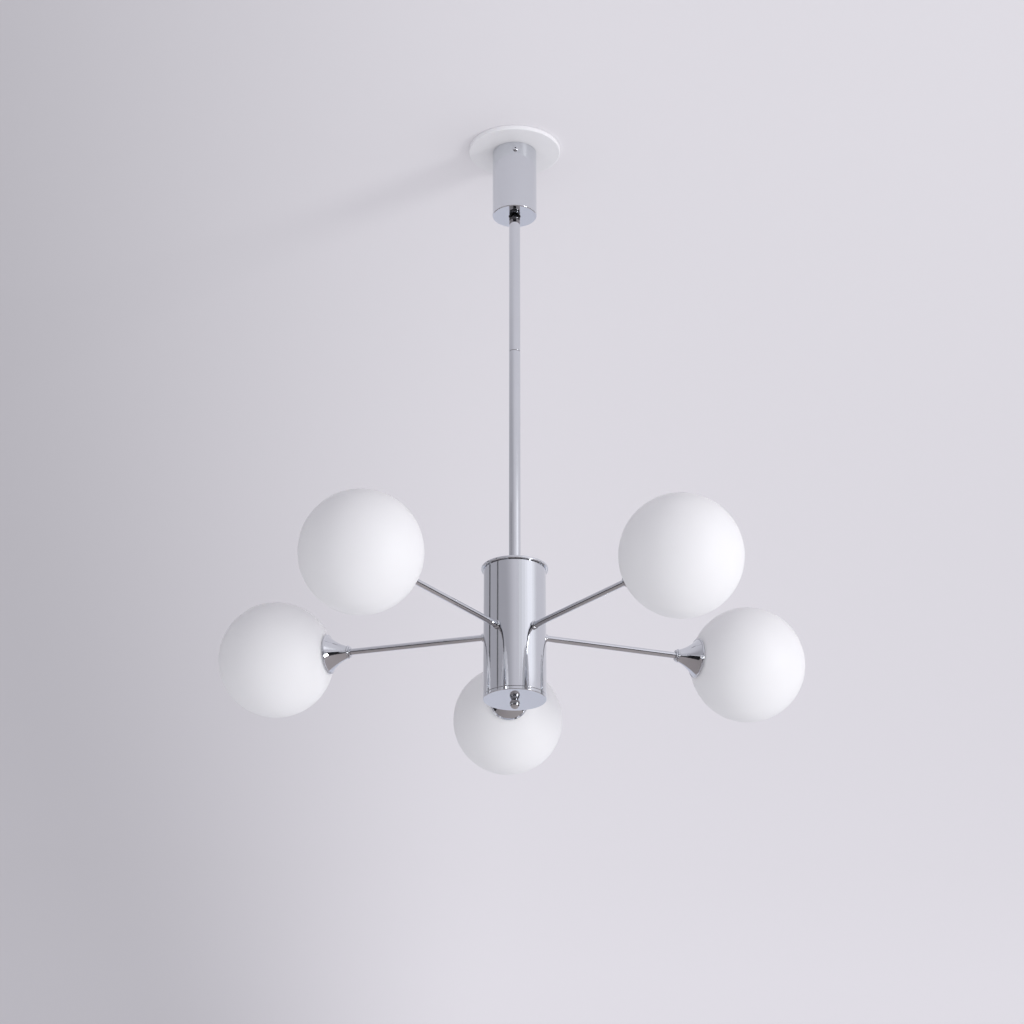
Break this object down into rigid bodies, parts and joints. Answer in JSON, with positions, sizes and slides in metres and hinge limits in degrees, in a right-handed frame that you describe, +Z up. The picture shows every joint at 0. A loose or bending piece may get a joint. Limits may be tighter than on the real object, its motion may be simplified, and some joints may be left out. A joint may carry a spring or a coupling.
{
  "type": "multi-arm chandelier",
  "caption": "Ceiling chandelier: chrome drum on a two-piece down-rod with a cylinder canopy, level straight arms, bell cups and opal glass globes.",
  "frame": {"origin": "centre of the ceiling plate's top face, where it meets the ceiling", "axes": "+Z up into the ceiling, out of the plate's top face; +Y along arm 1, the one at the back of the main view; +X to the right of that view"},
  "size_m": [0.7652, 0.7351, 0.8185],
  "materials": {
    "white_paint": "satin white",
    "zinc_steel": "zinc-plated",
    "brass": "turned",
    "black_nylon": "matt",
    "terminal_plastic": "matt, milky",
    "holder_ceramic": "unglazed white",
    "frosted_lamp": "frosted",
    "silicone": "matt, translucent white",
    "opal_glass": "satin opal white",
    "chrome": "polished"
  },
  "bodies": {
    "ceiling_fixing": {"ceiling_plate": "white_paint", "mounting_bar": "zinc_steel", "plate_screw_front": "zinc_steel", "plate_screw_rear": "zinc_steel", "terminal_block": "terminal_plastic", "canopy_cup": "chrome", "canopy_screw_front": "chrome", "canopy_screw_rear": "chrome"},
    "swivel_ring": {"swivel_washer": "black_nylon"},
    "hanging_frame": {"arm_1_bell_cup": "chrome", "arm_1_cup_bead": "chrome", "arm_1_lampholder": "holder_ceramic", "arm_1_root_collar": "chrome", "arm_1_tube": "chrome", "arm_2_bell_cup": "chrome", "arm_2_cup_bead": "chrome", "arm_2_lampholder": "holder_ceramic", "arm_2_root_collar": "chrome", "arm_2_tube": "chrome", "arm_3_bell_cup": "chrome", "arm_3_cup_bead": "chrome", "arm_3_lampholder": "holder_ceramic", "arm_3_root_collar": "chrome", "arm_3_tube": "chrome", "arm_4_bell_cup": "chrome", "arm_4_cup_bead": "chrome", "arm_4_lampholder": "holder_ceramic", "arm_4_root_collar": "chrome", "arm_4_tube": "chrome", "arm_5_bell_cup": "chrome", "arm_5_cup_bead": "chrome", "arm_5_lampholder": "holder_ceramic", "arm_5_root_collar": "chrome", "arm_5_tube": "chrome", "arm_hub": "zinc_steel", "ball_finial": "chrome", "bottom_cap": "chrome", "centre_stud": "zinc_steel", "drum_tube": "chrome", "lower_rod": "chrome", "rod_collar": "chrome", "rod_nipple": "brass", "swivel_ball": "chrome", "top_cap": "chrome", "upper_rod": "chrome"},
    "globe_seat_1": {"arm_1_globe_gasket": "silicone"},
    "globe_1": {"arm_1_glass_globe": "opal_glass"},
    "lamp_1": {"arm_1_lamp": "frosted_lamp"},
    "globe_seat_2": {"arm_2_globe_gasket": "silicone"},
    "globe_2": {"arm_2_glass_globe": "opal_glass"},
    "lamp_2": {"arm_2_lamp": "frosted_lamp"},
    "globe_seat_3": {"arm_3_globe_gasket": "silicone"},
    "globe_3": {"arm_3_glass_globe": "opal_glass"},
    "lamp_3": {"arm_3_lamp": "frosted_lamp"},
    "globe_seat_4": {"arm_4_globe_gasket": "silicone"},
    "globe_4": {"arm_4_glass_globe": "opal_glass"},
    "lamp_4": {"arm_4_lamp": "frosted_lamp"},
    "globe_seat_5": {"arm_5_globe_gasket": "silicone"},
    "globe_5": {"arm_5_glass_globe": "opal_glass"},
    "lamp_5": {"arm_5_lamp": "frosted_lamp"}
  },
  "joints": [
    {"name": "swivel_tilt_x", "type": "hinge", "parent": "ceiling_fixing", "child": "swivel_ring", "pos_m": [0, 0, -0.09649], "axis": [1, 0, 0], "range_deg": [-10, 10]},
    {"name": "swivel_tilt_y", "type": "hinge", "parent": "swivel_ring", "child": "hanging_frame", "pos_m": [0, 0, -0.09649], "axis": [0, 1, 0], "range_deg": [-10, 10]},
    {"name": "globe_1_advance", "type": "slide", "parent": "hanging_frame", "child": "globe_seat_1", "axis": [0, 1, 0], "range_m": [0, 0.00605]},
    {"name": "globe_1_unscrew", "type": "hinge", "parent": "globe_seat_1", "child": "globe_1", "pos_m": [0, 0.32346, -0.7175], "axis": [0, 1, 0], "range_deg": [0, 540]},
    {"name": "lamp_1_pull", "type": "slide", "parent": "hanging_frame", "child": "lamp_1", "axis": [0, 1, 0], "range_m": [0, 0.012]},
    {"name": "globe_2_advance", "type": "slide", "parent": "hanging_frame", "child": "globe_seat_2", "axis": [-0.9511, 0.309, 0], "range_m": [0, 0.00605]},
    {"name": "globe_2_unscrew", "type": "hinge", "parent": "globe_seat_2", "child": "globe_2", "pos_m": [-0.30763, 0.09996, -0.7175], "axis": [-0.9511, 0.309, 0], "range_deg": [0, 540]},
    {"name": "lamp_2_pull", "type": "slide", "parent": "hanging_frame", "child": "lamp_2", "axis": [-0.9511, 0.309, 0], "range_m": [0, 0.012]},
    {"name": "globe_3_advance", "type": "slide", "parent": "hanging_frame", "child": "globe_seat_3", "axis": [-0.5878, -0.809, 0], "range_m": [0, 0.00605]},
    {"name": "globe_3_unscrew", "type": "hinge", "parent": "globe_seat_3", "child": "globe_3", "pos_m": [-0.19013, -0.26169, -0.7175], "axis": [-0.5878, -0.809, 0], "range_deg": [0, 540]},
    {"name": "lamp_3_pull", "type": "slide", "parent": "hanging_frame", "child": "lamp_3", "axis": [-0.5878, -0.809, 0], "range_m": [0, 0.012]},
    {"name": "globe_4_advance", "type": "slide", "parent": "hanging_frame", "child": "globe_seat_4", "axis": [0.5878, -0.809, 0], "range_m": [0, 0.00605]},
    {"name": "globe_4_unscrew", "type": "hinge", "parent": "globe_seat_4", "child": "globe_4", "pos_m": [0.19013, -0.26169, -0.7175], "axis": [0.5878, -0.809, 0], "range_deg": [0, 540]},
    {"name": "lamp_4_pull", "type": "slide", "parent": "hanging_frame", "child": "lamp_4", "axis": [0.5878, -0.809, 0], "range_m": [0, 0.012]},
    {"name": "globe_5_advance", "type": "slide", "parent": "hanging_frame", "child": "globe_seat_5", "axis": [0.9511, 0.309, 0], "range_m": [0, 0.00605]},
    {"name": "globe_5_unscrew", "type": "hinge", "parent": "globe_seat_5", "child": "globe_5", "pos_m": [0.30763, 0.09996, -0.7175], "axis": [0.9511, 0.309, 0], "range_deg": [0, 540]},
    {"name": "lamp_5_pull", "type": "slide", "parent": "hanging_frame", "child": "lamp_5", "axis": [0.9511, 0.309, 0], "range_m": [0, 0.012]}
  ],
  "couplings": [
    {"joint": "globe_1_advance", "follows": "globe_1_unscrew", "m_per_rad": 0.00063662},
    {"joint": "globe_2_advance", "follows": "globe_2_unscrew", "m_per_rad": 0.00063662},
    {"joint": "globe_3_advance", "follows": "globe_3_unscrew", "m_per_rad": 0.00063662},
    {"joint": "globe_4_advance", "follows": "globe_4_unscrew", "m_per_rad": 0.00063662},
    {"joint": "globe_5_advance", "follows": "globe_5_unscrew", "m_per_rad": 0.00063662}
  ]
}
